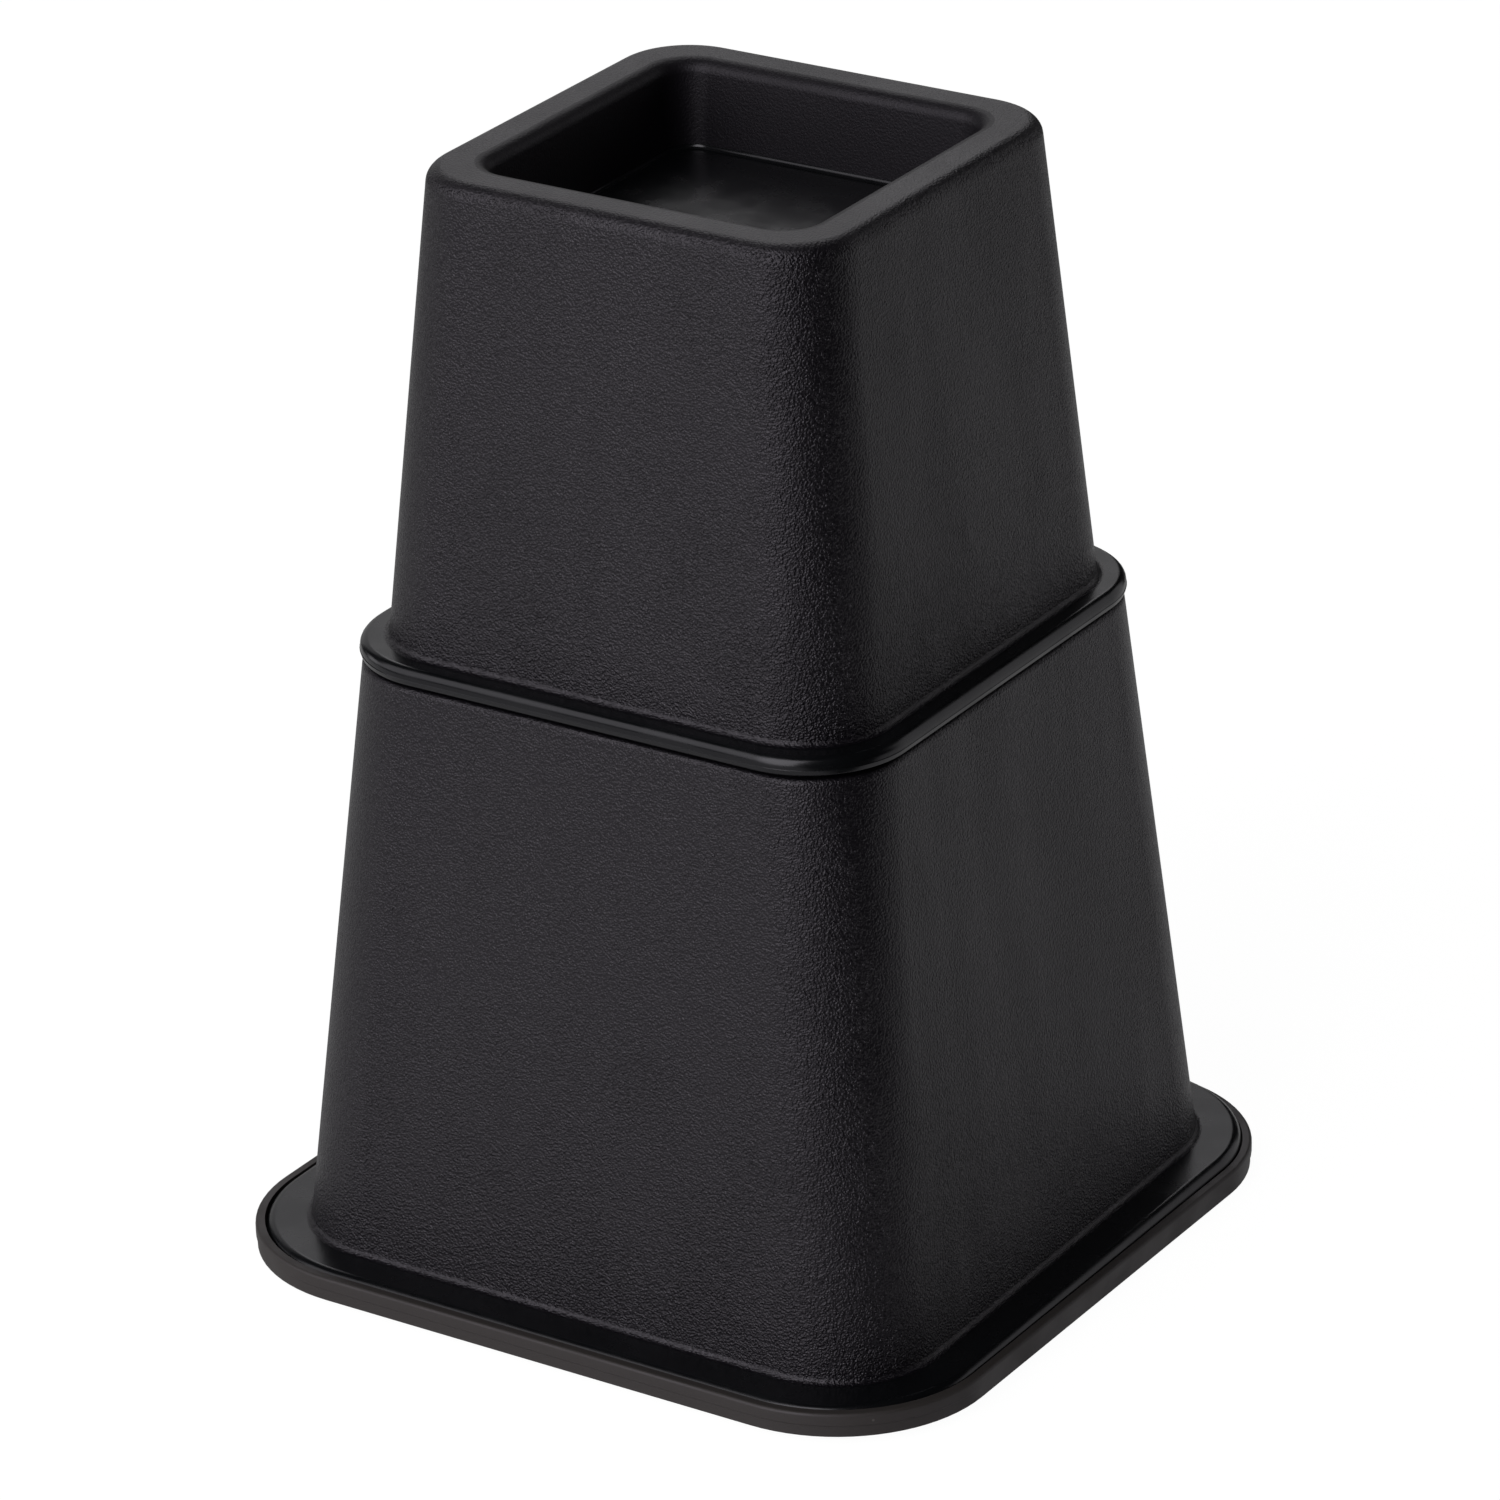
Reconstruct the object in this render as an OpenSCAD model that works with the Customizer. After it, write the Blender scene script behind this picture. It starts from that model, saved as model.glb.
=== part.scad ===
// Stacking bed riser: two drafted square risers and a rubber foot.
// Millimetres, +Z up. The origin is the centre of the foot, on the ground.

/* [Upper riser] */
// Width over the walls at the top edge
upper_top_w = 83.2; // [78:0.1:88]
// Width over the walls where they meet the flange
upper_foot_w = 98.2; // [94:0.1:100]
// Height from the underside of the flange to the rim
upper_h = 88.5; // [70:0.5:120]
// Corner radius of the walls at the top edge
upper_top_r = 13.2; // [11:0.1:16]
// Corner radius of the walls at the flange
upper_foot_r = 16.4; // [12:0.1:20]

/* [Lower riser] */
// Width over the walls at the top edge
lower_top_w = 105.6; // [104:0.1:110]
// Width over the walls where they meet the flange
lower_foot_w = 126.5; // [120:0.1:132]
// Width across the flange
lower_flange_w = 143.4; // [138:0.1:154]
// Height from the underside of the flange to the rim
lower_h = 113.2; // [90:0.5:150]
// Corner radius of the walls at the top edge
lower_top_r = 16.8; // [14:0.1:19]
// Corner radius of the walls at the flange
lower_foot_r = 19.6; // [16:0.1:24]
// Corner radius of the flange
lower_flange_r = 27.3; // [22:0.1:32]

/* [Leg recess] */
// Depth of the recess that takes the bed leg
recess_depth = 15.8; // [10:0.1:22]
// Corner radius of the recess
recess_r = 6.6; // [5:0.1:9]
// How far each recess wall leans in between the rim and the floor
recess_lean = 1.5; // [0.5:0.1:2.5]
// Radius where the recess walls meet its floor
recess_floor_r = 0.8; // [0.4:0.1:1.5]

/* [Rim and flanges] */
// Width of the rim from the outer walls to the recess
rim_w = 9.4; // [8.5:0.1:11]
// Radius of the rim's outer edge
rim_outer_r = 2.8; // [1.8:0.1:3.2]
// Radius of the rim's inner edge
rim_inner_r = 2; // [1:0.1:2.4]
// Thickness of the flanges
flange_t = 3; // [2.6:0.1:4.5]
// Radius of the flange's top edge
flange_edge_r = 1.1; // [0.6:0.1:1.4]
// How far the flange's side leans in towards its bottom
flange_lean = 0.3; // [0.1:0.05:0.5]
// Radius where the walls meet the flange
foot_fillet_r = 0.9; // [0.5:0.1:1.4]

/* [Walls and ribs] */
// Thickness of the outer walls, the recess walls and the rim
wall_t = 3; // [2.4:0.1:3.4]
// Thickness of the recess floor
floor_t = 3.2; // [2.4:0.1:4]
// Thickness of the ribs under the recess
rib_t = 2; // [1.4:0.1:3]
// Greatest distance between neighbouring ribs
rib_pitch = 17; // [13:0.5:20]
// How far the ribs hang below the recess floor
rib_drop = 16; // [8:0.5:24]

/* [Stacking seat] */
// How deep the lower riser's rim sits in the upper flange
seat_depth = 1.3; // [0.8:0.1:1.6]
// Clearance round the lower riser's rim
seat_gap = 0.3; // [0.15:0.05:0.5]
// Thickness of the lip that hangs round the rim
lip_t = 1.1; // [0.9:0.1:1.8]

/* [Rubber foot] */
// Thickness of the rubber under the flange
pad_t = 2.6; // [1.6:0.1:4]
// Width of the rubber under the flange
pad_w = 11; // [6:0.5:12]
// Thickness of the band round the flange's edge
band_t = 1.7; // [1.3:0.1:2.6]
// How far the flange stands above the band
band_drop = 0.7; // [0.4:0.1:1.2]
// Clearance between the band and the flange's edge
band_gap = 0.1; // [0.05:0.05:0.3]
// Height of the band's thicker upper lip
band_lip_h = 2.2; // [1.4:0.1:2.8]
// How far the lip stands out past the skirt below it
band_lip_out = 0.4; // [0.2:0.05:0.8]

/* [Hidden] */

// Faces round each corner, and along the larger and the smaller fillets
corner_steps = 10;
fillet_steps = 5;
small_steps = 3;

// The band's top edge radius as a share of its thickness, and the height of
// the slope under its lip as a share of how far the lip stands out
band_edge_share = 0.3;
band_step_share = 1.2;

// Heights of the stack, from the ground up
lower_z = pad_t;
rim_z = lower_z + lower_h;
upper_z = rim_z - seat_depth;

// A riser's form is a list of its sizes, with heights that count from the
// underside of its flange. These are the places of the sizes in the list.
TOP_HALF = 0;
TOP_R = 1;
FOOT_HALF = 2;
FOOT_R = 3;
HEIGHT = 4;
FLANGE_HALF = 5;
FLANGE_R = 6;
SEAT_DEPTH = 7;
SEAT_HALF = 8;
SEAT_R = 9;

lower_form = [
    lower_top_w / 2, lower_top_r, lower_foot_w / 2, lower_foot_r, lower_h,
    lower_flange_w / 2, lower_flange_r, 0, 0, 0
];

// The lower riser's rounded edge at the level where the upper lip ends
edge_in = rim_outer_r - sqrt(pow(rim_outer_r, 2) - pow(rim_outer_r - seat_depth, 2));
seat_half = wall_half(lower_form, lower_h - seat_depth) - edge_in + seat_gap;
seat_r = wall_r(lower_form, lower_h - seat_depth) - edge_in + seat_gap;

upper_form = [
    upper_top_w / 2, upper_top_r, upper_foot_w / 2, upper_foot_r, upper_h,
    seat_half + lip_t, seat_r + lip_t, seat_depth, seat_half, seat_r
];

// The outer wall plane at level z: its half width, corner radius and lean
function wall_share(f, z) = (f[HEIGHT] - z) / (f[HEIGHT] - flange_t);
function wall_half(f, z) = f[TOP_HALF] + (f[FOOT_HALF] - f[TOP_HALF]) * wall_share(f, z);
function wall_r(f, z) = f[TOP_R] + (f[FOOT_R] - f[TOP_R]) * wall_share(f, z);
function wall_lean(f) = atan2(f[FOOT_HALF] - f[TOP_HALF], f[HEIGHT] - flange_t);

// The level z of a wall plane, moved in by d
function wall_ring(f, z, d = 0) = [wall_half(f, z) - d, wall_r(f, z) - d, z];

// The recess wall plane at level z, moved out by d
function recess_share(f, z) = (f[HEIGHT] - z) / recess_depth;
function recess_ring(f, z, d = 0) = [
    f[TOP_HALF] - rim_w - recess_lean * recess_share(f, z) + d,
    recess_r + d - recess_lean * recess_share(f, z),
    z
];

// A rounded square of points for a ring [half width, corner radius, level]
function square_points(g) = [
    for (quarter = [0:3], k = [0:corner_steps])
        let (
            turn = 90 * quarter,
            a = turn + 90 * k / corner_steps,
            sx = quarter == 0 || quarter == 3 ? 1 : -1,
            sy = quarter < 2 ? 1 : -1
        )
        [sx * (g[0] - g[1]) + g[1] * cos(a), sy * (g[0] - g[1]) + g[1] * sin(a), g[2]]
];

// A skin over rings of points: closed by a flat cap at each end, or joined end to start
module skin(rings, closed = false) {
    count = len(rings);
    side = 4 * (corner_steps + 1);
    last = closed ? count - 1 : count - 2;
    walls = [
        for (i = [0:last], k = [0:side - 1])
            let (j = (i + 1) % count, m = (k + 1) % side)
            [i * side + k, i * side + m, j * side + m, j * side + k]
    ];
    caps = closed ? [] : [
        [for (k = [side - 1:-1:0]) k],
        [for (k = [0:side - 1]) (count - 1) * side + k]
    ];
    polyhedron(points = [for (g = rings) each square_points(g)], faces = concat(walls, caps));
}

// The rings of a riser's moulded wall, from the recess floor over the rim, down
// the outside, round the flange and up the inside to the underside of the floor
function riser_rings(f) =
    let (
        top = f[HEIGHT],
        lean = wall_lean(f),
        floor_z = top - recess_depth,
        outer_c = wall_half(f, top - rim_outer_r) - rim_outer_r / cos(lean),
        under_z = top - wall_t,
        flange_mid = flange_t - flange_edge_r
    )
    concat(
        [for (k = [0:small_steps])
            let (a = 90 * k / small_steps)
            recess_ring(f, floor_z + recess_floor_r * (1 - cos(a)), -recess_floor_r * (1 - sin(a)))],
        [for (k = [0:fillet_steps])
            let (a = 90 * k / fillet_steps)
            recess_ring(f, top - rim_inner_r * (1 - sin(a)), rim_inner_r * (1 - cos(a)))],
        [for (k = [0:fillet_steps])
            let (
                a = 90 - (90 - lean) * k / fillet_steps,
                z = top - rim_outer_r * (1 - sin(a))
            )
            wall_ring(f, z, wall_half(f, z) - outer_c - rim_outer_r * cos(a))],
        [for (k = [0:small_steps])
            let (a = (90 - lean) * k / small_steps)
            wall_ring(
                f,
                flange_t + foot_fillet_r * (1 - sin(a + lean)),
                -foot_fillet_r * (1 - cos(a + lean))
            )],
        [for (k = [0:small_steps])
            let (a = 90 - 90 * k / small_steps, d = flange_edge_r * (1 - cos(a)))
            [f[FLANGE_HALF] - d, f[FLANGE_R] - d, flange_mid + flange_edge_r * sin(a)]],
        [[f[FLANGE_HALF] - flange_lean, f[FLANGE_R] - flange_lean, 0]],
        f[SEAT_DEPTH] > 0
            ? [[f[SEAT_HALF], f[SEAT_R], 0], [f[SEAT_HALF], f[SEAT_R], f[SEAT_DEPTH]]]
            : [],
        [
            wall_ring(f, f[SEAT_DEPTH], wall_t),
            wall_ring(f, under_z, wall_t),
            recess_ring(f, under_z, wall_t),
            recess_ring(f, floor_z - floor_t, wall_t)
        ]
    );

// One rib across a riser: it passes under the recess and ends inside the walls
module rib(f) {
    low = f[HEIGHT] - recess_depth - floor_t - rib_drop;
    high = f[HEIGHT] - wall_t / 2;
    mid = f[HEIGHT] - recess_depth - floor_t / 2;
    wall_low = wall_half(f, low) - wall_t / 2;
    wall_high = wall_half(f, high) - wall_t / 2;
    cup_high = recess_ring(f, high)[0] + wall_t / 2;
    cup_mid = recess_ring(f, mid)[0] + wall_t / 2;
    rotate([90, 0, 0])
        linear_extrude(height = rib_t, center = true)
            polygon([
                [-wall_low, low], [wall_low, low], [wall_high, high], [cup_high, high],
                [cup_mid, mid], [-cup_mid, mid], [-cup_high, high], [-wall_high, high]
            ]);
}

// The moulded wall with a grid of ribs, spaced evenly across the recess floor
module riser(f) {
    floor_half = recess_ring(f, f[HEIGHT] - recess_depth)[0];
    count = ceil(2 * floor_half / rib_pitch);
    step = 2 * floor_half / count;
    skin(riser_rings(f));
    for (side = [0, 90], k = [1:count])
        rotate([0, 0, side])
            translate([0, (k - 0.5) * step - floor_half, 0])
                rib(f);
}

module upper_riser() {
    color("#1d1c1e")
        translate([0, 0, upper_z])
            riser(upper_form);
}

module lower_riser() {
    color("#1b1a1b")
        translate([0, 0, lower_z])
            riser(lower_form);
}

// A band with a thicker lip round the flange's edge, and a pad under the flange
module rubber_foot() {
    in_half = lower_flange_w / 2 + band_gap;
    in_r = lower_flange_r + band_gap;
    out_half = in_half + band_t;
    out_r = in_r + band_t;
    band_top = pad_t + flange_t - band_drop;
    edge_r = band_t * band_edge_share;
    lip_z = band_top - band_lip_h;
    skirt_z = lip_z - band_lip_out * band_step_share;
    skirt_half = out_half - band_lip_out;
    skirt_r = out_r - band_lip_out;
    color("#24201e")
        skin(
            concat(
                [
                    [in_half - pad_w, in_r - pad_w, 0],
                    [in_half - pad_w, in_r - pad_w, pad_t],
                    [in_half, in_r, pad_t],
                    [in_half, in_r, band_top]
                ],
                [for (k = [0:small_steps])
                    let (a = 90 - 90 * k / small_steps, d = edge_r * (1 - cos(a)))
                    [out_half - d, out_r - d, band_top - edge_r * (1 - sin(a))]],
                [
                    [out_half, out_r, lip_z],
                    [skirt_half, skirt_r, skirt_z],
                    [skirt_half, skirt_r, 0]
                ]
            ),
            closed = true
        );
}

upper_riser();
lower_riser();
rubber_foot();
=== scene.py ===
"""The look of a stacking bed riser: two moulded risers and the rubber band they stand on."""

import math

import bmesh
import bpy
from mathutils import Matrix, Vector


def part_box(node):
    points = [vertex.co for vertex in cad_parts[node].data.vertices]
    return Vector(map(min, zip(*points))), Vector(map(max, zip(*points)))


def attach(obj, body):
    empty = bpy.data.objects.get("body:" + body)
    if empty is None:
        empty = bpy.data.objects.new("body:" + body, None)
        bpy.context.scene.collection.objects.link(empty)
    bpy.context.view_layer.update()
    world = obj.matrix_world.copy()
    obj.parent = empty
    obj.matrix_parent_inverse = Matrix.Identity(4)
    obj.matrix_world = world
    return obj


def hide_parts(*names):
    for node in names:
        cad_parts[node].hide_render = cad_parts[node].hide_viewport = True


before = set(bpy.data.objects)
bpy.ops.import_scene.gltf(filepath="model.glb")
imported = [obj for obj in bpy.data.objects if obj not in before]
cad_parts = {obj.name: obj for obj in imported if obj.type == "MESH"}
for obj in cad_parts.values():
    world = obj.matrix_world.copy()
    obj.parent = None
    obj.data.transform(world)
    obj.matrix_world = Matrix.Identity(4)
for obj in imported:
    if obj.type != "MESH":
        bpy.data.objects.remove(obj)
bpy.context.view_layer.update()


# The camera looks at the stack from its front corner, a little above the rim,
# through a long lens and with a slight roll, as a catalogue picture is taken.
aim = Vector((0.0017, -0.0023, 0.0902))
view_azimuth = math.radians(32.67)
view_elevation = math.radians(24.46)
view_roll = math.radians(-1.22)
view_distance = 1.3188
sensor_width = 36.0
lens_length = 179.6

away = Vector((
    math.sin(view_azimuth) * math.cos(view_elevation),
    -math.cos(view_azimuth) * math.cos(view_elevation),
    math.sin(view_elevation),
))
level_right = Vector((math.cos(view_azimuth), math.sin(view_azimuth), 0))
camera_right = level_right * math.cos(view_roll) + away.cross(level_right) * math.sin(view_roll)
camera_up = away.cross(camera_right)

camera_data = bpy.data.cameras.new("camera")
camera_data.sensor_width = sensor_width
camera_data.lens = lens_length
camera = bpy.data.objects.new("camera", camera_data)
bpy.context.scene.collection.objects.link(camera)
camera.matrix_world = Matrix.Translation(aim + away * view_distance) @ Matrix((
    camera_right, camera_up, away
)).transposed().to_4x4()
bpy.context.scene.camera = camera


# The upper riser is one injection moulding in black plastic: drafted walls with a
# leather grain, a finely blasted rim and recess, and a polished floor, flange and inside.
# Its flange drops over the lower riser's rim, and nothing else fastens it.
upper_low, upper_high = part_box("upper_riser")
upper_top = upper_high.z
upper_base = upper_low.z
upper_flange_half = upper_high.x
upper_top_half = 0.0416
upper_top_corner = 0.0132
upper_foot_half = 0.04945
upper_foot_corner = 0.0164
upper_flange_corner = 0.0187
upper_flange_radius = 0.0016
seat_depth = 0.0013
seat_lip = 0.0011
seat_drop = 0.0003

# sizes that both risers share, in metres
rim_width = 0.0094
upper_rim_radius = 0.0027
rim_inner_radius = 0.0024
grained_share = 0.61
recess_depth = 0.0158
recess_corner = 0.0066
recess_lean = 0.0015
recess_floor_radius = 0.0008
flange_thickness = 0.003
flange_lean = 0.0003
flange_bottom_radius = 0.0004
parting_height = 0.0008
parting_step = 0.0001
foot_radius = 0.00105
wall_thickness = 0.003
floor_thickness = 0.0032
rib_thickness = 0.002
rib_drop = 0.016
rib_spacing = 0.017
ledge_width = 0.0024
corner_steps = 20
smooth_angle = math.radians(35)

# how near to a place counts as on it, and how far apart the outlines are first drawn
near = 0.00002
storey = 0.5

# the plastic is almost black, and its gloss is slightly violet
plastic_black = (0.0038, 0.0031, 0.0047, 1)
gloss_tint = (0.955, 0.89, 1.0, 1)
polish_black = (0.0030, 0.0034, 0.0041, 1)
polish_tint = (0.955, 0.925, 1.0, 1)
GRAIN, RIM, RECESS, SMOOTH, FOOT = 0, 1, 2, 3, 4

# cells in a metre, and the heights of the bumps
dome_scale = 2350
pit_scale = 2150
grain_height = 0.00014
patch_scale = 60
streak_scale = 75
streak_stretch = (1, 1, 0.12)
sand_scale = 2400
ripple_scale = 220
ripple_height = 0.00002
wipe_scale = 120

# the parts of a noise's values that are used: nearly all of them, or the middle
main_span = (0.3, 0.7)
middle_span = (0.35, 0.65)


def new_material(name, colour, roughness):
    """A black material with its plain values on the shader, and its nodes and links to build on."""
    material = bpy.data.materials.new(name)
    material.use_nodes = True
    nodes = material.node_tree.nodes
    links = material.node_tree.links
    shader = nodes["Principled BSDF"]
    shader.inputs["Base Color"].default_value = colour
    shader.inputs["Roughness"].default_value = roughness
    shader.inputs["Specular Tint"].default_value = gloss_tint
    place = nodes.new("ShaderNodeTexCoord")
    mapping = nodes.new("ShaderNodeMapping")
    links.new(place.outputs["Object"], mapping.inputs["Vector"])
    return material, nodes, links, shader, mapping.outputs["Vector"]


def noise(nodes, links, place, per_metre, detail=2.0, stretch=(1, 1, 1)):
    """Cloudy noise with so many cells in a metre, longer along an axis where stretch is small."""
    scaled = nodes.new("ShaderNodeVectorMath")
    scaled.operation = "MULTIPLY"
    scaled.inputs[1].default_value = stretch
    links.new(place, scaled.inputs[0])
    texture = nodes.new("ShaderNodeTexNoise")
    texture.inputs["Scale"].default_value = per_metre
    texture.inputs["Detail"].default_value = detail
    links.new(scaled.outputs["Vector"], texture.inputs["Vector"])
    return texture.outputs["Fac"]


def cell_distance(nodes, links, place, per_metre):
    """How far a place lies from the middle of its cell, with so many cells in a metre."""
    cells = nodes.new("ShaderNodeTexVoronoi")
    cells.inputs["Scale"].default_value = per_metre
    links.new(place, cells.inputs["Vector"])
    return cells.outputs["Distance"]


def remap(nodes, links, value, span, result):
    """A value's span from low to high, turned into the result's and smooth at both ends."""
    ramp = nodes.new("ShaderNodeMapRange")
    ramp.interpolation_type = "SMOOTHSTEP"
    ramp.inputs["From Min"].default_value = span[0]
    ramp.inputs["From Max"].default_value = span[1]
    ramp.inputs["To Min"].default_value = result[0]
    ramp.inputs["To Max"].default_value = result[1]
    links.new(value, ramp.inputs["Value"])
    return ramp.outputs["Result"]


def combine(nodes, links, operation, first, second):
    """Two values added or multiplied."""
    step = nodes.new("ShaderNodeMath")
    step.operation = operation
    links.new(first, step.inputs[0])
    links.new(second, step.inputs[1])
    return step.outputs["Value"]


def raise_surface(nodes, links, shader, height, depth):
    """Bumps as high as depth, in metres, where the height goes from 0 to 1."""
    bump = nodes.new("ShaderNodeBump")
    bump.inputs["Strength"].default_value = 1
    bump.inputs["Distance"].default_value = depth
    links.new(height, bump.inputs["Height"])
    links.new(bump.outputs["Normal"], shader.inputs["Normal"])


def grained_plastic(name, low, high):
    """Leather grain: small irregular domes, shallower towards the top of the wall."""
    material, nodes, links, shader, place = new_material(name, plastic_black, roughness=0.3)

    # small domes with finer pits between them
    distance = cell_distance(nodes, links, place, dome_scale)
    domes = remap(nodes, links, distance, (0, 0.7), (1, 0))
    pits = noise(nodes, links, place, pit_scale, detail=1)
    fine = remap(nodes, links, pits, main_span, (0, 1))
    grain = combine(nodes, links, "ADD", domes, fine)

    # patches of deeper and shallower grain, and less of it high on the wall
    cloud = noise(nodes, links, place, patch_scale)
    patches = remap(nodes, links, cloud, main_span, (0.7, 1))
    split = nodes.new("ShaderNodeSeparateXYZ")
    links.new(place, split.inputs["Vector"])
    fade = remap(nodes, links, split.outputs["Z"], (low, high), (1, 0.75))
    depth = combine(nodes, links, "MULTIPLY", patches, fade)

    # faint upright streaks, where the mould was polished by hand, with shallower grain
    streaks = noise(nodes, links, place, streak_scale, stretch=streak_stretch)
    worn = remap(nodes, links, streaks, middle_span, (1.08, 0.85))
    depth = combine(nodes, links, "MULTIPLY", depth, worn)
    height = combine(nodes, links, "MULTIPLY", grain, depth)
    raise_surface(nodes, links, shader, height, grain_height)

    # the domes' tips are glossier than the pits, and the streaks a little more so
    tips = remap(nodes, links, domes, (0.3, 0.9), (0.4, 0.22))
    shine = remap(nodes, links, streaks, middle_span, (0.02, -0.03))
    links.new(combine(nodes, links, "ADD", tips, shine), shader.inputs["Roughness"])
    return material


def blasted_plastic(name, roughness, depth, gloss=0.5):
    """Fine even blasting, as on the rim, the recess's walls and the fillet at a wall's foot."""
    material, nodes, links, shader, place = new_material(name, plastic_black, roughness)
    shader.inputs["Specular IOR Level"].default_value = gloss
    sand = remap(nodes, links, noise(nodes, links, place, sand_scale), main_span, (0, 1))
    raise_surface(nodes, links, shader, sand, depth)
    cloud = noise(nodes, links, place, patch_scale)
    even = remap(nodes, links, cloud, main_span, (roughness - 0.03, roughness + 0.03))
    links.new(even, shader.inputs["Roughness"])
    return material


def polished_plastic(name, roughness):
    """Smooth plastic with a slight ripple and a little dust."""
    material, nodes, links, shader, place = new_material(name, polish_black, roughness)
    shader.inputs["Specular Tint"].default_value = polish_tint
    ripple = noise(nodes, links, place, ripple_scale)
    raise_surface(nodes, links, shader, ripple, ripple_height)
    wipe = noise(nodes, links, place, wipe_scale, detail=4)
    worn = remap(nodes, links, wipe, (0.35, 0.7), (roughness - 0.03, roughness + 0.06))
    links.new(worn, shader.inputs["Roughness"])
    return material


def select_where(piece, wanted):
    """Only the vertices whose place is wanted are selected, with the edges between them."""
    mesh = bmesh.from_edit_mesh(piece.data)
    for vertex in mesh.verts:
        vertex.select_set(wanted(vertex.co))
    mesh.select_flush_mode()
    bmesh.update_edit_mesh(piece.data)


def select_between(piece, low, high):
    """Only what lies between two levels is selected."""
    select_where(piece, lambda place: low - near < place.z < high + near)


def overhang(place, half, corner):
    """How far out a place lies from a rounded square of half width and corner radius."""
    beyond = Vector((
        max(abs(place.x) - half + corner, 0),
        max(abs(place.y) - half + corner, 0),
    ))
    return beyond.length - corner


def select_outline(piece, outline):
    """Only a rounded square of half width, corner radius and level is selected."""
    half, corner, level = outline
    select_where(piece, lambda place: (
        abs(overhang(place, half, corner)) < near and abs(place.z - level) < near
    ))


def assign_finish(piece, finish):
    """The selected faces get one of the piece's materials."""
    piece.active_material_index = finish
    bpy.ops.object.material_slot_assign()


def loft(name, spans, materials, closed=False):
    """A skin bridged over outlines in turn; each span has its outline and the finish up to it."""
    outlines = [outline for outline, finish in spans]
    finishes = [finish for outline, finish in spans]
    bpy.ops.object.select_all(action="DESELECT")
    piece = bpy.data.objects.new(name, bpy.data.meshes.new(name))
    bpy.context.scene.collection.objects.link(piece)
    bpy.context.view_layer.objects.active = piece
    piece.select_set(True)
    for material in materials:
        piece.data.materials.append(material)
    bpy.ops.object.mode_set(mode="EDIT")
    bpy.ops.mesh.select_mode(type="VERT")

    # each outline is a plane with its corners bevelled and its face taken off, drawn
    # a storey above the last, because a bridge twists where one lies inside another
    for number, (half, corner, level) in enumerate(outlines, 1):
        bpy.ops.mesh.primitive_plane_add(size=2 * half, location=(0, 0, number * storey))
        bpy.ops.mesh.bevel(
            offset=corner, segments=corner_steps, affect="VERTICES", clamp_overlap=False
        )
        bpy.ops.mesh.delete(type="ONLY_FACE")
    for number in range(2, len(spans) + 1):
        select_between(piece, (number - 1) * storey, number * storey)
        bpy.ops.mesh.bridge_edge_loops()
        assign_finish(piece, finishes[number - 1])
    ends = (storey, len(spans) * storey)
    if closed:
        select_where(piece, lambda place: min(abs(place.z - end) for end in ends) < near)
        bpy.ops.mesh.bridge_edge_loops()
        assign_finish(piece, finishes[0])
    else:
        for end, finish in zip(ends, (finishes[0], finishes[-1])):
            select_between(piece, end, end)
            bpy.ops.mesh.edge_face_add()
            assign_finish(piece, finish)

    # then each goes down to its own level
    for number, (half, corner, level) in enumerate(outlines, 1):
        select_between(piece, number * storey, number * storey)
        bpy.ops.transform.translate(value=(0, 0, level - number * storey))
    bpy.ops.mesh.select_all(action="SELECT")
    bpy.ops.mesh.normals_make_consistent(inside=False)
    return piece


def round_edge(piece, outline, radius, steps, finish):
    """A fillet along one outline."""
    select_outline(piece, outline)
    bpy.ops.mesh.bevel(
        offset=radius, segments=steps, affect="EDGES", clamp_overlap=False, material=finish
    )


def make_ribs(materials, low, middle, high, reach, cup, half_floor):
    """Crossed ribs from wall to wall under the recess floor, and up beside the recess."""
    count = math.ceil(2 * half_floor / rib_spacing)
    step = 2 * half_floor / count
    facing_up = 0.9
    bpy.ops.object.select_all(action="DESELECT")
    bpy.ops.mesh.primitive_cube_add(size=1)
    ribs = bpy.context.object
    for material in materials:
        ribs.data.materials.append(material)
    bpy.ops.object.mode_set(mode="EDIT")
    bpy.ops.transform.resize(value=(2 * reach(low), rib_thickness, middle - low))
    bpy.ops.transform.translate(value=(0, 0, (middle + low) / 2))

    # outside the recess's box each rib goes on up to the ceiling
    for side in (-1, 1):
        bpy.ops.mesh.select_all(action="SELECT")
        bpy.ops.mesh.bisect(plane_co=(side * cup, 0, 0), plane_no=(1, 0, 0))
    bpy.ops.mesh.select_mode(type="FACE")
    mesh = bmesh.from_edit_mesh(ribs.data)
    for face in mesh.faces:
        centre = face.calc_center_median()
        face.select_set(face.normal.z > facing_up and abs(centre.x) > cup)
    bmesh.update_edit_mesh(ribs.data)
    bpy.ops.mesh.extrude_region_move(TRANSFORM_OT_translate={"value": (0, 0, high - middle)})
    bpy.ops.mesh.select_mode(type="VERT")

    # the ends lean in with the walls
    for level in (middle, high):
        select_where(
            ribs, lambda place: abs(place.x) > cup + near and abs(place.z - level) < near
        )
        bpy.ops.transform.resize(value=(reach(level) / reach(low), 1, 1))

    # the rib is copied across the floor, and all of them a quarter turn round
    bpy.ops.mesh.select_all(action="SELECT")
    bpy.ops.transform.translate(value=(0, step / 2 - half_floor, 0))
    for number in range(1, count):
        bpy.ops.mesh.duplicate_move(TRANSFORM_OT_translate={"value": (0, step, 0)})
    bpy.ops.mesh.select_all(action="SELECT")
    bpy.ops.mesh.duplicate()
    bpy.ops.transform.rotate(
        value=math.radians(90), orient_axis="Z", center_override=(0, 0, 0)
    )
    bpy.ops.mesh.select_all(action="SELECT")
    bpy.ops.mesh.normals_make_consistent(inside=False)
    assign_finish(ribs, SMOOTH)
    bpy.ops.object.mode_set(mode="OBJECT")
    return ribs


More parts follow.
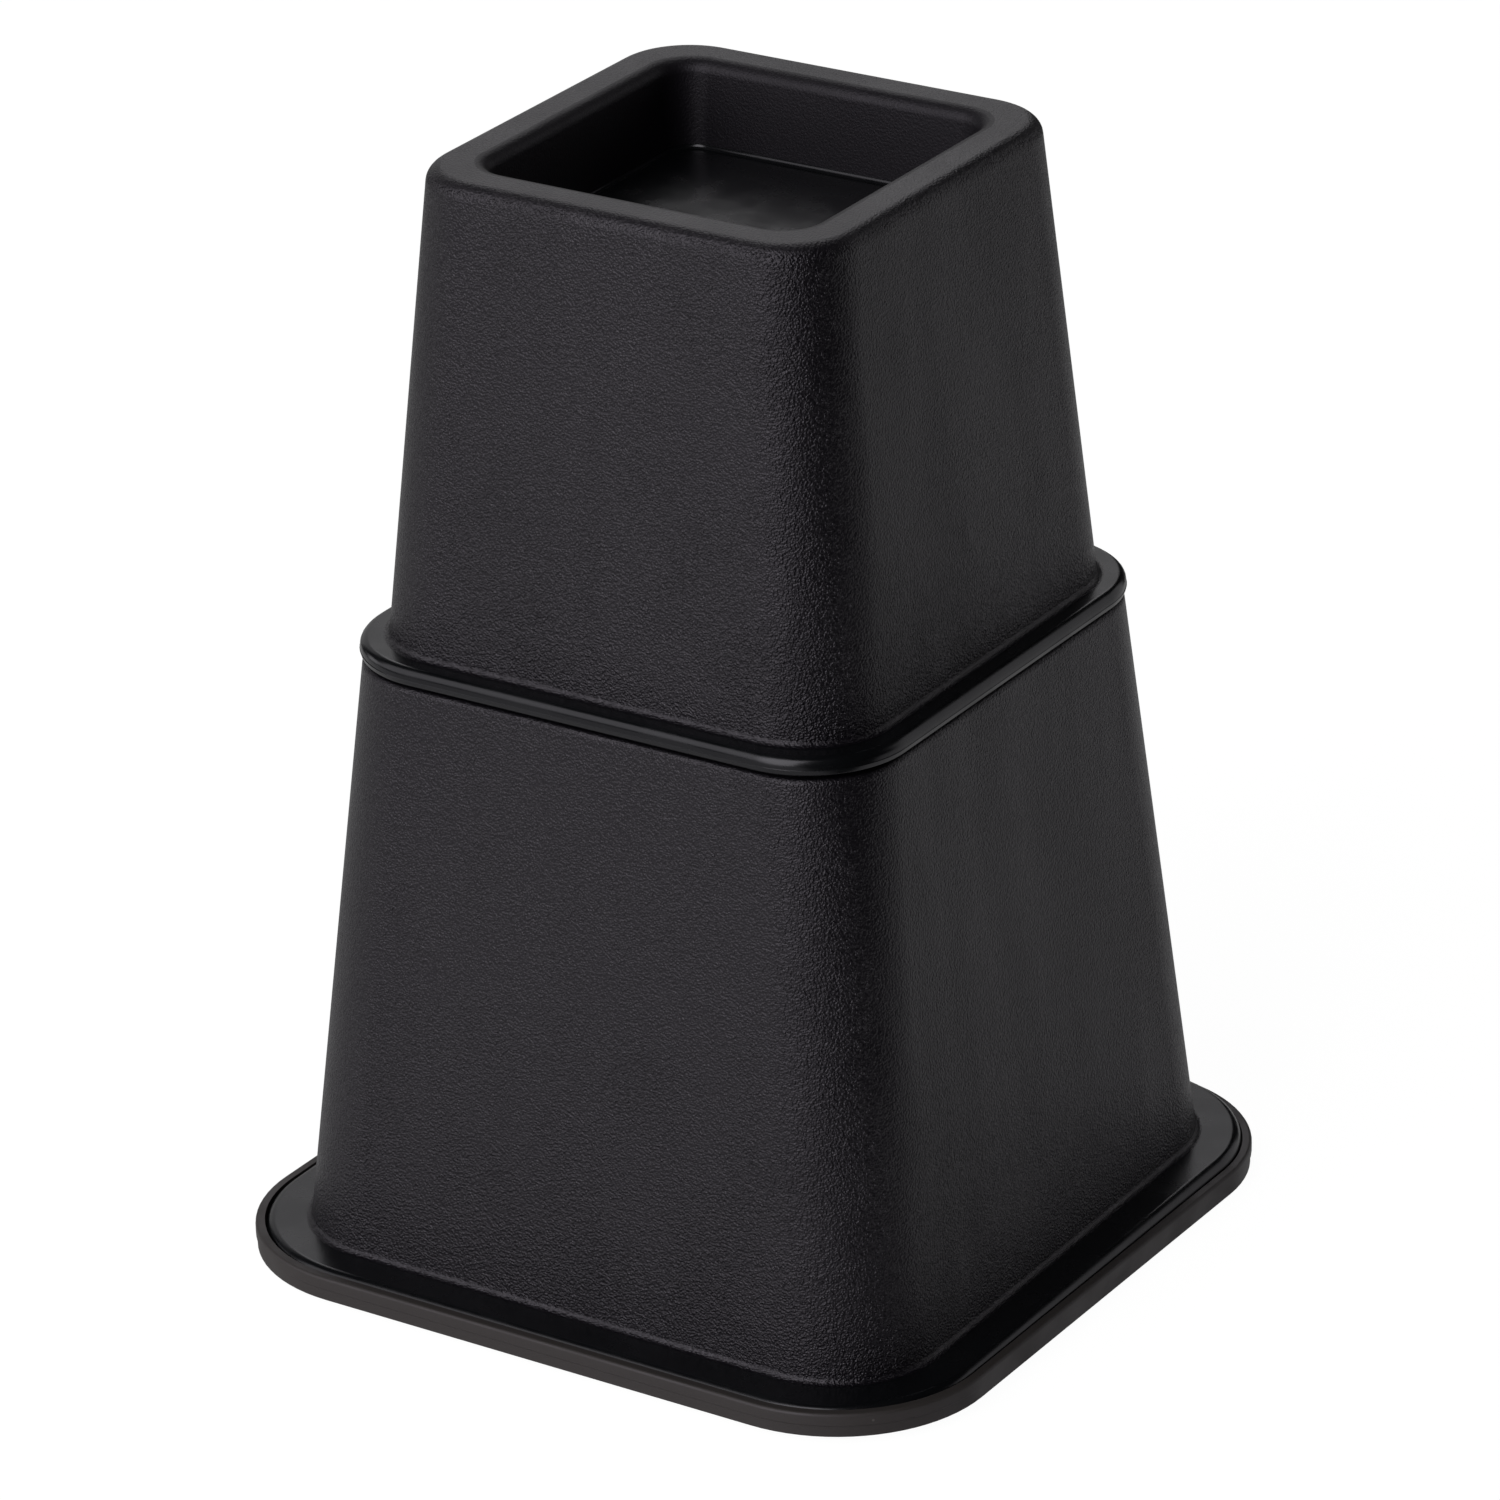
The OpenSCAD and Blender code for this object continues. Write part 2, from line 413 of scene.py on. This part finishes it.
def make_riser(name, rim, foot, flange, seat=0, drop=0, ledge=0):
    """One moulding: recess, rim, walls and flange outside, then its hollow and ribs inside."""
    top_half, top_corner, top, rim_radius = rim
    foot_half, foot_corner, base = foot
    flange_half, flange_corner, flange_radius = flange
    grain = grained_plastic(name + "_grain", base, top)
    materials = [grain, rim_finish, recess_finish, polish, foot_finish]
    flange_top = base + flange_thickness
    floor_level = top - recess_depth
    recess_half = top_half - rim_width

    def wall(level, inset=0.0):
        """The outer wall's outline at a level, moved in by inset."""
        share = (top - level) / (top - flange_top)
        half = top_half + (foot_half - top_half) * share
        corner = top_corner + (foot_corner - top_corner) * share
        return (half - inset, corner - inset, level)

    recess_floor = (recess_half - recess_lean, recess_corner - recess_lean, floor_level)
    recess_edge = (recess_half, recess_corner, top)
    shoulder = (top_half - ledge_width, top_corner - ledge_width)
    rim_edge = wall(top - ledge)
    foot_edge = wall(flange_top)
    flange_side = (flange_half - parting_step, flange_corner - parting_step)
    flange_edge = (*flange_side, flange_top)
    parting = base + parting_height
    flange_bottom = (flange_half - flange_lean, flange_corner - flange_lean, base - drop)
    ceiling = top - wall_thickness
    recess_back = (recess_half + wall_thickness, recess_corner + wall_thickness, ceiling)
    cup_bottom = floor_level - floor_thickness

    # the outlines go from the recess's floor over the rim and down to the flange, and
    # from there up the inside to the underside of that floor
    spans = [
        (recess_floor, SMOOTH),
        (recess_edge, RECESS),
    ]
    if ledge:
        spans += [((*shoulder, top), RIM), ((*shoulder, top - ledge), RIM)]
    spans += [
        (rim_edge, RIM),
        (foot_edge, GRAIN),
        (flange_edge, SMOOTH),
        ((*flange_side, parting + parting_step), SMOOTH),
        ((flange_half, flange_corner, parting), SMOOTH),
        (flange_bottom, SMOOTH),
    ]
    if seat:
        lip = (flange_half - seat_lip, flange_corner - seat_lip)
        spans += [((*lip, base - drop), SMOOTH), ((*lip, base + seat), SMOOTH)]
    spans += [
        (wall(base + seat, wall_thickness), SMOOTH),
        (wall(ceiling, wall_thickness), SMOOTH),
        (recess_back, SMOOTH),
        ((recess_back[0] - recess_lean, recess_back[1] - recess_lean, cup_bottom), SMOOTH),
    ]
    piece = loft(name, spans, materials)

    # the leather grain runs some way up the rim's outer fillet
    round_edge(piece, rim_edge, rim_radius, steps=8, finish=RIM)
    grain_top = rim_edge[2] - rim_radius * (1 - grained_share)
    select_where(piece, lambda place: (
        overhang(place, top_half, top_corner) > -rim_radius
        and rim_edge[2] - rim_radius < place.z < grain_top
    ))
    assign_finish(piece, GRAIN)
    round_edge(piece, recess_edge, rim_inner_radius, steps=6, finish=RECESS)
    round_edge(piece, recess_floor, recess_floor_radius, steps=4, finish=SMOOTH)
    round_edge(piece, foot_edge, foot_radius, steps=5, finish=FOOT)
    round_edge(piece, flange_edge, flange_radius, steps=6, finish=SMOOTH)
    round_edge(piece, flange_bottom, flange_bottom_radius, steps=3, finish=SMOOTH)
    bpy.ops.object.mode_set(mode="OBJECT")

    # the ribs end inside the plastic, half a wall deep, and are joined to it
    half_wall = wall_thickness / 2
    ribs = make_ribs(
        materials,
        low=cup_bottom - rib_drop,
        middle=floor_level - floor_thickness / 2,
        high=top - half_wall,
        reach=lambda level: wall(level, half_wall)[0],
        cup=recess_half + half_wall / 3,
        half_floor=recess_floor[0]
    )
    bpy.ops.object.select_all(action="DESELECT")
    bpy.context.view_layer.objects.active = piece
    piece.select_set(True)
    union = piece.modifiers.new("ribs", "BOOLEAN")
    union.operation = "UNION"
    union.solver = "EXACT"
    union.use_self = True
    union.object = ribs
    bpy.ops.object.modifier_apply(modifier="ribs")
    bpy.data.objects.remove(ribs)
    finish_surface(piece)
    return piece


def finish_surface(piece):
    """Smooth shading that keeps flat walls flat between their fillets."""
    bpy.ops.object.select_all(action="DESELECT")
    bpy.context.view_layer.objects.active = piece
    piece.select_set(True)
    bpy.ops.object.shade_smooth_by_angle(angle=smooth_angle)
    piece.modifiers.new("flat_walls", "WEIGHTED_NORMAL").keep_sharp = True
    bpy.ops.object.modifier_apply(modifier="flat_walls")


rim_finish = blasted_plastic("blasted_rim", roughness=0.38, depth=0.00006)
recess_finish = blasted_plastic("blasted_recess", roughness=0.5, depth=0.00003, gloss=0.38)
foot_finish = blasted_plastic("foot_fillet", roughness=0.24, depth=0.00009)
polish = polished_plastic("polished_plastic", roughness=0.24)
upper = make_riser(
    "upper_riser_moulding",
    rim=(upper_top_half, upper_top_corner, upper_top, upper_rim_radius),
    foot=(upper_foot_half, upper_foot_corner, upper_base),
    flange=(upper_flange_half, upper_flange_corner, upper_flange_radius),
    seat=seat_depth,
    drop=seat_drop
)
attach(upper, "root")
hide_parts("upper_riser")


# The lower riser is the same moulding in a larger size, with a wide flat flange at
# its foot. Its own recess is covered here by the upper riser, and its rim has a small
# step, which leaves a dark groove under the upper riser's flange.
lower_low, lower_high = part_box("lower_riser")
lower_top_half = 0.0528
lower_top_corner = 0.0168
lower_foot_half = 0.0635
lower_foot_corner = 0.0196
lower_flange_corner = 0.0273
lower_flange_radius = 0.0019
lower_rim_radius = 0.001
ledge_depth = 0.0024

lower = make_riser(
    "lower_riser_moulding",
    rim=(lower_top_half, lower_top_corner, lower_high.z, lower_rim_radius),
    foot=(lower_foot_half, lower_foot_corner, lower_low.z),
    flange=(lower_high.x, lower_flange_corner, lower_flange_radius),
    ledge=ledge_depth
)
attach(lower, "root")
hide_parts("lower_riser")


# The foot is a band of soft black rubber stretched over the lower flange's edge, with
# a thicker lip round its top and a pad under the flange that grips the floor. It sits
# a little askew, higher in front than at the back, and its edge is lightly rounded.
foot_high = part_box("rubber_foot")[1]
pad_thickness = lower_low.z
pad_width = 0.011
band_thickness = 0.0017
band_gap = 0.0001
band_drop = 0.00045
band_top = foot_high.z - band_drop
band_half = foot_high.x
band_corner = lower_flange_corner + band_gap + band_thickness
band_edge_radius = band_thickness * 0.35
lip_height = 0.0022
lip_out = 0.00025
band_tilt = 0.0125
RUBBER = 0

rubber_black = (0.032, 0.028, 0.0255, 1)
dust_grey = (0.16, 0.15, 0.14, 1)
skin_scale = 1800
skin_height = 0.00002
mottle_scale = 100
speck_scale = 260
speck_edge = (0.05, 0.09)
dusty_scale = 140
dusty_span = (0.58, 0.66)


def tint(nodes, links, factor, dark, light):
    """A colour between a dark and a light one."""
    mix = nodes.new("ShaderNodeMix")
    mix.data_type = "RGBA"
    mix.inputs["A"].default_value = dark
    mix.inputs["B"].default_value = light
    links.new(factor, mix.inputs["Factor"])
    return mix.outputs["Result"]


def rubber():
    """Dull rubber with a fine skin, slight mottling and specks of dust."""
    material, nodes, links, shader, place = new_material(
        "band_rubber", rubber_black, roughness=0.55
    )
    skin = noise(nodes, links, place, skin_scale, detail=3)
    raise_surface(nodes, links, shader, skin, skin_height)
    distance = cell_distance(nodes, links, place, speck_scale)
    dots = remap(nodes, links, distance, speck_edge, (1, 0))
    dust = noise(nodes, links, place, dusty_scale, detail=1)
    rare = remap(nodes, links, dust, dusty_span, (0, 1))
    dusty = combine(nodes, links, "MULTIPLY", dots, rare)
    links.new(tint(nodes, links, dusty, rubber_black, dust_grey), shader.inputs["Base Color"])
    cloud = noise(nodes, links, place, mottle_scale)
    mottle = remap(nodes, links, cloud, main_span, (0.48, 0.62))
    links.new(mottle, shader.inputs["Roughness"])
    return material


inner_half = band_half - band_thickness
inner_corner = band_corner - band_thickness
pad_outline = (inner_half - pad_width, inner_corner - pad_width)
skirt_outline = (band_half - lip_out, band_corner - lip_out)
band_edge = (band_half, band_corner, band_top)
skirt_level = band_top - lip_height
band = loft("rubber_foot_band", [
    ((*pad_outline, 0), RUBBER),
    ((*pad_outline, pad_thickness), RUBBER),
    ((inner_half, inner_corner, pad_thickness), RUBBER),
    ((inner_half, inner_corner, band_top), RUBBER),
    (band_edge, RUBBER),
    ((band_half, band_corner, skirt_level), RUBBER),
    ((*skirt_outline, skirt_level - lip_out), RUBBER),
    ((*skirt_outline, 0), RUBBER),
], [rubber()], closed=True)
round_edge(band, band_edge, band_edge_radius, steps=4, finish=RUBBER)
select_where(band, lambda place: (
    overhang(place, inner_half, inner_corner) > near or place.z > pad_thickness + near
))
bpy.ops.transform.rotate(value=band_tilt, orient_axis="X", center_override=(0, 0, 0))
bpy.ops.object.mode_set(mode="OBJECT")
finish_surface(band)
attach(band, "root")
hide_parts("rubber_foot")


# The studio: a pale round floor, six soft panels round the stack, and a black card on
# the floor at the right front. Only the plastic's gloss sees the card, which takes the
# floor's glow out of it there.
floor_radius = 0.8
floor_sides = 96
floor_level = -0.001
floor_roughness = 0.8
floor_glow_share = 0.9
seen_glow = 1.08
mirrored_glow = 0.42
panel_distance = 1.5
card_width = 0.7
card_distance = 0.6
card_azimuth = 62
card_turn = 45
card_level = -0.0009
floor_white = (0.9, 0.9, 0.9, 1)
backdrop_white = (1, 1, 1, 1)
fill_grey = (0.01, 0.01, 0.01, 1)
full_black = (0, 0, 0, 1)


def panel(name, azimuth, elevation, width_angle, height_angle, brightness):
    """A soft light turned to the stack; azimuth 0 is in front, and 90 is on the right."""
    a = math.radians(azimuth)
    e = math.radians(elevation)
    outward = Vector((math.sin(a) * math.cos(e), -math.cos(a) * math.cos(e), math.sin(e)))
    light = bpy.data.lights.new(name, "AREA")
    light.shape = "RECTANGLE"
    light.size = 2 * panel_distance * math.tan(math.radians(width_angle / 2))
    light.size_y = 2 * panel_distance * math.tan(math.radians(height_angle / 2))
    light.energy = brightness * math.pi * light.size * light.size_y
    lamp = bpy.data.objects.new(name, light)
    lamp.location = outward * panel_distance + Vector((0, 0, upper_base))
    lamp.rotation_mode = "QUATERNION"
    lamp.rotation_quaternion = (-outward).to_track_quat("-Z", "Y")
    lamp.visible_camera = False
    bpy.context.scene.collection.objects.link(lamp)


panel(
    "key_panel", azimuth=-44, elevation=24, width_angle=50, height_angle=48, brightness=1.1
)
panel(
    "front_panel", azimuth=-2, elevation=28, width_angle=36, height_angle=66, brightness=2.75
)
panel(
    "left_panel", azimuth=-80, elevation=5, width_angle=20, height_angle=20, brightness=1.3
)
panel(
    "back_panel", azimuth=225, elevation=16, width_angle=52, height_angle=42, brightness=0.42
)
panel(
    "high_panel", azimuth=212, elevation=46, width_angle=30, height_angle=32, brightness=1.35
)
panel(
    "right_panel", azimuth=148, elevation=10, width_angle=48, height_angle=38, brightness=0.48
)

bpy.ops.object.select_all(action="DESELECT")
bpy.ops.mesh.primitive_plane_add(size=1)
card = bpy.context.object
card.name = "black_card"
card.scale = (card_width, card_width, 1)
card.rotation_euler = (0, 0, math.radians(card_azimuth + card_turn))
card.location = (
    card_distance * math.sin(math.radians(card_azimuth)),
    -card_distance * math.cos(math.radians(card_azimuth)),
    card_level,
)
card.visible_camera = False
card.visible_diffuse = False
card.visible_shadow = False
card_paint = bpy.data.materials.new("card_black")
card_paint.use_nodes = True
card_shader = card_paint.node_tree.nodes["Principled BSDF"]
card_shader.inputs["Base Color"].default_value = full_black
card_shader.inputs["Roughness"].default_value = 1
card.data.materials.append(card_paint)

# the world is dark to the object, and white to the camera
world = bpy.data.worlds.new("studio")
bpy.context.scene.world = world
world.use_nodes = True
world_nodes = world.node_tree.nodes
world_links = world.node_tree.links
world_nodes["Background"].inputs["Color"].default_value = fill_grey
backdrop = world_nodes.new("ShaderNodeBackground")
backdrop.inputs["Color"].default_value = backdrop_white
paths = world_nodes.new("ShaderNodeLightPath")
seen = world_nodes.new("ShaderNodeMixShader")
world_links.new(paths.outputs["Is Camera Ray"], seen.inputs["Fac"])
world_links.new(world_nodes["Background"].outputs["Background"], seen.inputs[1])
world_links.new(backdrop.outputs["Background"], seen.inputs[2])
world_links.new(seen.outputs["Shader"], world_nodes["World Output"].inputs["Surface"])

# the floor is white paint to the light, and glows for the camera and in the gloss
bpy.ops.object.select_all(action="DESELECT")
bpy.ops.mesh.primitive_circle_add(
    vertices=floor_sides, radius=floor_radius, fill_type="NGON"
)
floor = bpy.context.object
floor.name = "floor"
floor.location.z = floor_level
floor_paint = bpy.data.materials.new("floor_paint")
floor_paint.use_nodes = True
floor_nodes = floor_paint.node_tree.nodes
floor_links = floor_paint.node_tree.links
floor_shader = floor_nodes["Principled BSDF"]
floor_shader.inputs["Base Color"].default_value = floor_white
floor_shader.inputs["Roughness"].default_value = floor_roughness
glow = floor_nodes.new("ShaderNodeEmission")
glow.inputs["Color"].default_value = backdrop_white
floor_paths = floor_nodes.new("ShaderNodeLightPath")
seen_or_mirrored = floor_nodes.new("ShaderNodeMath")
seen_or_mirrored.operation = "ADD"
floor_links.new(floor_paths.outputs["Is Camera Ray"], seen_or_mirrored.inputs[0])
floor_links.new(floor_paths.outputs["Is Glossy Ray"], seen_or_mirrored.inputs[1])
glow_share = floor_nodes.new("ShaderNodeMath")
glow_share.operation = "MULTIPLY"
glow_share.inputs[1].default_value = floor_glow_share
floor_links.new(seen_or_mirrored.outputs["Value"], glow_share.inputs[0])
glow_level = floor_nodes.new("ShaderNodeMapRange")
glow_level.inputs["To Min"].default_value = mirrored_glow
glow_level.inputs["To Max"].default_value = seen_glow
floor_links.new(floor_paths.outputs["Is Camera Ray"], glow_level.inputs["Value"])
floor_links.new(glow_level.outputs["Result"], glow.inputs["Strength"])
paint_or_glow = floor_nodes.new("ShaderNodeMixShader")
floor_links.new(glow_share.outputs["Value"], paint_or_glow.inputs["Fac"])
floor_links.new(floor_shader.outputs["BSDF"], paint_or_glow.inputs[1])
floor_links.new(glow.outputs["Emission"], paint_or_glow.inputs[2])
floor_links.new(
    paint_or_glow.outputs["Shader"], floor_nodes["Material Output"].inputs["Surface"]
)
floor.data.materials.append(floor_paint)

bpy.context.scene.view_settings.view_transform = "Standard"
